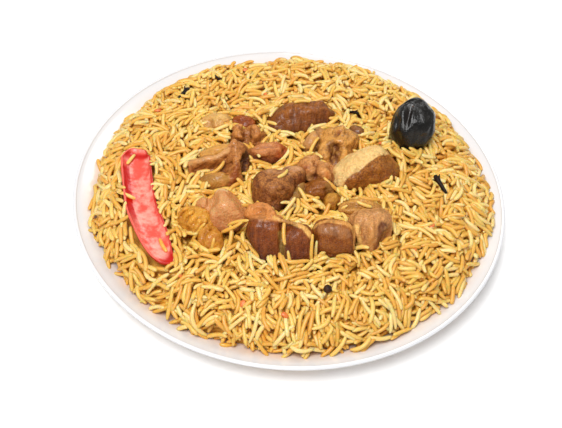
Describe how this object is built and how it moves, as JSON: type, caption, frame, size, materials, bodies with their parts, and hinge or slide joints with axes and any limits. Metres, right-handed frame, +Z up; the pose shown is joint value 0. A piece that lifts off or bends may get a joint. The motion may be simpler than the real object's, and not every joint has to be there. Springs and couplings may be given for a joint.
{
  "type": "plate of spiced rice with meat",
  "caption": "Round white plate heaped with long-grain yellow rice, topped with chunks of stewed meat, a halved red pepper and a dried black lime.",
  "frame": {"origin": "centre of the plate's foot, on the table", "axes": "+Z up; -Y is the front, the side nearest the camera in the picture"},
  "size_m": [0.3, 0.3, 0.0734],
  "materials": {
    "glaze": "glossy white glaze",
    "rice": "cooked rice, slightly oily",
    "dark_meat": "browned stewed meat, fibrous and moist",
    "brown_meat": "stewed meat, moist",
    "pale_meat": "smooth stewed meat, moist",
    "fat": "soft cooked fat, glossy",
    "lime_skin": "black dried skin, wrinkled and shiny",
    "pepper_flesh": "wet red flesh"
  },
  "bodies": {
    "root": {"plate": "glaze", "rice_bed": "rice", "meat_back_slab": "dark_meat", "meat_back_pale": "pale_meat", "meat_rusty_strip": "brown_meat", "meat_folded": "brown_meat", "meat_red_curl": "brown_meat", "meat_ridge": "brown_meat", "meat_centre_round": "dark_meat", "meat_mid_upper": "brown_meat", "meat_mid_lower": "brown_meat", "meat_gold_lump": "brown_meat", "meat_fat_cap": "fat", "meat_gristle": "fat", "meat_smooth": "pale_meat", "meat_front_left": "dark_meat", "meat_front_right": "dark_meat", "meat_fibrous": "brown_meat", "meat_small_tan": "pale_meat", "meat_dark_wedge": "dark_meat", "meat_brown_bit": "brown_meat", "dried_lime": "lime_skin", "red_pepper": "pepper_flesh"}
  },
  "joints": []
}
